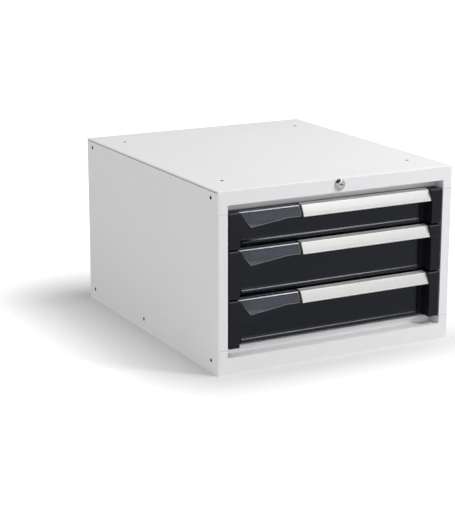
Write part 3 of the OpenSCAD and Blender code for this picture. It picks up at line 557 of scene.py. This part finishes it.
def dress(node, material, bevel=0.0, edge=None):
    """Gives a CAD node its finish, and its edges a small radius, which may have a finish of its own, such as
    a painted highlight.
    """
    piece = nodes[node]
    piece.data.materials.clear()
    piece.data.materials.append(material)
    if not bevel:
        return
    weld = piece.modifiers.new("weld", "WELD")
    weld.merge_threshold = same_place
    flat = piece.modifiers.new("flat", "DECIMATE")
    flat.decimate_type = "DISSOLVE"
    flat.angle_limit = math.radians(flat_angle)
    rounding = piece.modifiers.new("rounding", "BEVEL")
    rounding.width = bevel
    rounding.segments = edge_steps
    rounding.limit_method = "ANGLE"
    rounding.angle_limit = math.radians(round_angle)
    rounding.harden_normals = True
    rounding.use_clamp_overlap = True
    if edge:
        piece.data.materials.append(edge)
        rounding.material = 1
    piece.modifiers.new("shading", "WEIGHTED_NORMAL")


def darken(node, material, groove=False):
    """Gives the walls of a panel's holes painted shade.

    With a groove, so do a side panel's rim and what lies above it, under the roof.
    """
    data = nodes[node].data
    data.materials.append(material)
    points = [vertex.co for vertex in data.vertices]
    wall = max(abs(point.x) for point in points) - same_place
    rim = max(point.z for point in points if abs(point.x) > wall) - same_place
    for face in data.polygons:
        above_rim = min(points[k].z for k in face.vertices) > rim
        if face.area < hole_facet or (groove and above_rim):
            face.material_index = 1


def paint_fold_highlight(node):
    """Gives a cover's upper front fold its second finish, the painted highlight of its edges."""
    low, high = map(math.radians, fold_tilts)
    for face in nodes[node].data.polygons:
        tilt = math.atan2(face.normal.z, -face.normal.y)
        if abs(face.normal.x) < end_face_x and low < tilt < high:
            face.material_index = 1


def dress_casing():
    coat = powder_coat()
    # A coat with painted light that pales its upper faces, for the bottom panel and inner bottom rail
    top_lit_coat = powder_coat("powder_coat_painted_top_light", top_painted_light=(1.2, 1.2, 1.2))
    dark = hole_shade()
    for node in ("top_panel", "side_panel_left", "side_panel_right", "back_panel", "inner_top_rail"):
        dress(node, coat, sheet_edge)
    # Painted shade on the walls of the holes, and on the side panels' rim and groove under the roof
    darken("top_panel", dark)
    for node in ("side_panel_left", "side_panel_right"):
        darken(node, dark, groove=True)
    # Painted light on the upper faces of the ledge
    for node in ("bottom_panel", "inner_bottom_rail"):
        dress(node, top_lit_coat, sheet_edge)
    for n in drawers:
        dress(f"tray_{n}", coat, sheet_edge)


def dress_metal():
    zinc = zinc_plate()
    bright = chrome()
    balls = bright_steel()
    for node in ("uprights", "rod_brackets", "bar_guides", "lock_nut", "lock_rod", "lock_crank", "lock_bar",
                 "slide_screws"):
        dress(node, zinc, sheet_edge)
    add_screws("casing_screws", zinc)
    dress("lock_housing", bright, lock_edge)
    dress("lock_plug", bright, sheet_edge)
    for n in drawers:
        for node in ("cabinet_rails", "middle_rails", "drawer_rails", "lock_catch"):
            dress(f"{node}_{n}", zinc, sheet_edge)
        for node in ("outer_cages", "inner_cages"):
            dress(f"{node}_{n}", balls)
        add_screws(f"front_screws_{n}", zinc)


def dress_fronts():
    paint = satin_paint()
    plastic = moulded_plastic()
    aluminium = anodised_aluminium()
    smoke = smoked_plastic()
    # A painted highlight, fading to painted shade, for the covers' edges and upper front folds
    edge_highlight = painted_edge_highlight()
    card = plain_card()
    for n in drawers:
        dress(f"front_panel_{n}", paint, front_edge)
        dress(f"end_cap_left_{n}", plastic, cap_edge)
        dress(f"end_cap_right_{n}", plastic, cap_edge)
        dress(f"handle_{n}", aluminium, grip_edge)
        # The cover's bevelled edges and its upper front fold get the painted highlight
        dress(f"label_cover_{n}", smoke, cover_edge, edge=edge_highlight)
        paint_fold_highlight(f"label_cover_{n}")
        dress(f"label_card_{n}", card)


def rays(tree, *kinds):
    """1 for rays of any of these kinds, such as "Is Camera Ray", and 0 for the others."""
    path = tree.nodes.new("ShaderNodeLightPath")
    total = path.outputs[kinds[0]]
    for kind in kinds[1:]:
        larger = tree.nodes.new("ShaderNodeMath")
        larger.operation = "MAXIMUM"
        tree.links.new(total, larger.inputs[0])
        tree.links.new(path.outputs[kind], larger.inputs[1])
        total = larger.outputs["Value"]
    return total


def add_world():
    """An even pale room. Where it is seen directly or in a reflection, it is plain white."""
    world = bpy.data.worlds.new("room")
    bpy.context.scene.world = world
    world.use_nodes = True
    tree = world.node_tree
    dim = tree.nodes["Background"]
    seen = tree.nodes.new("ShaderNodeBackground")
    for sky, strength in ((dim, room_light), (seen, 1)):
        sky.inputs["Color"].default_value = (1, 1, 1, 1)
        sky.inputs["Strength"].default_value = strength
    mix = tree.nodes.new("ShaderNodeMixShader")
    shown = rays(tree, "Is Camera Ray", "Is Glossy Ray", "Is Transmission Ray")
    tree.links.new(shown, mix.inputs["Fac"])
    tree.links.new(dim.outputs["Background"], mix.inputs[1])
    tree.links.new(seen.outputs["Background"], mix.inputs[2])
    tree.links.new(mix.outputs["Shader"], tree.nodes["World Output"].inputs["Surface"])


def floor_finish():
    """A matt floor that looks the whiter, the further it lies from the cabinet."""
    finish = Finish("floor", floor_rgb, 0.9, Specular_IOR_Level=0)
    away = finish.outside(foot_half)
    white = finish.spread(away, floor_lift_near, floor_lift_far, start=0, end=far_reach)
    lift = finish.node("ShaderNodeMath", "MULTIPLY")
    finish.link(rays(finish.tree, "Is Camera Ray"), lift.inputs[0])
    finish.link(white, lift.inputs[1])
    glow = finish.node("ShaderNodeEmission")
    finish.link(lift.outputs["Value"], glow.inputs["Strength"])
    both = finish.node("ShaderNodeAddShader")
    finish.link(finish.shader.outputs["BSDF"], both.inputs[0])
    finish.link(glow.outputs["Emission"], both.inputs[1])
    finish.link(both.outputs["Shader"], finish.tree.nodes["Material Output"].inputs["Surface"])
    return finish.material


def add_floor():
    """A wide pale floor that keeps the cabinet's shadow."""
    mesh = bpy.data.meshes.new("floor")
    mesh.from_pydata([(x * floor_half, y * floor_half, 0) for x, y in square], [], [(0, 1, 2, 3)])
    floor = bpy.data.objects.new("floor", mesh)
    bpy.context.scene.collection.objects.link(floor)
    mesh.materials.append(floor_finish())


def add_lamps():
    for name, (place, size, power) in lamps.items():
        data = bpy.data.lights.new(name, "AREA")
        data.shape = "DISK"
        data.size = size
        data.energy = power
        lamp = bpy.data.objects.new(name, data)
        way = Vector(lamp_aim) - Vector(place)
        lamp.matrix_world = Matrix.Translation(place) @ way.to_track_quat("-Z", "Y").to_matrix().to_4x4()
        bpy.context.scene.collection.objects.link(lamp)


bpy.context.scene.view_settings.view_transform = "Standard"
add_camera()
add_world()
add_floor()
add_lamps()
dress_casing()
dress_metal()
dress_fronts()
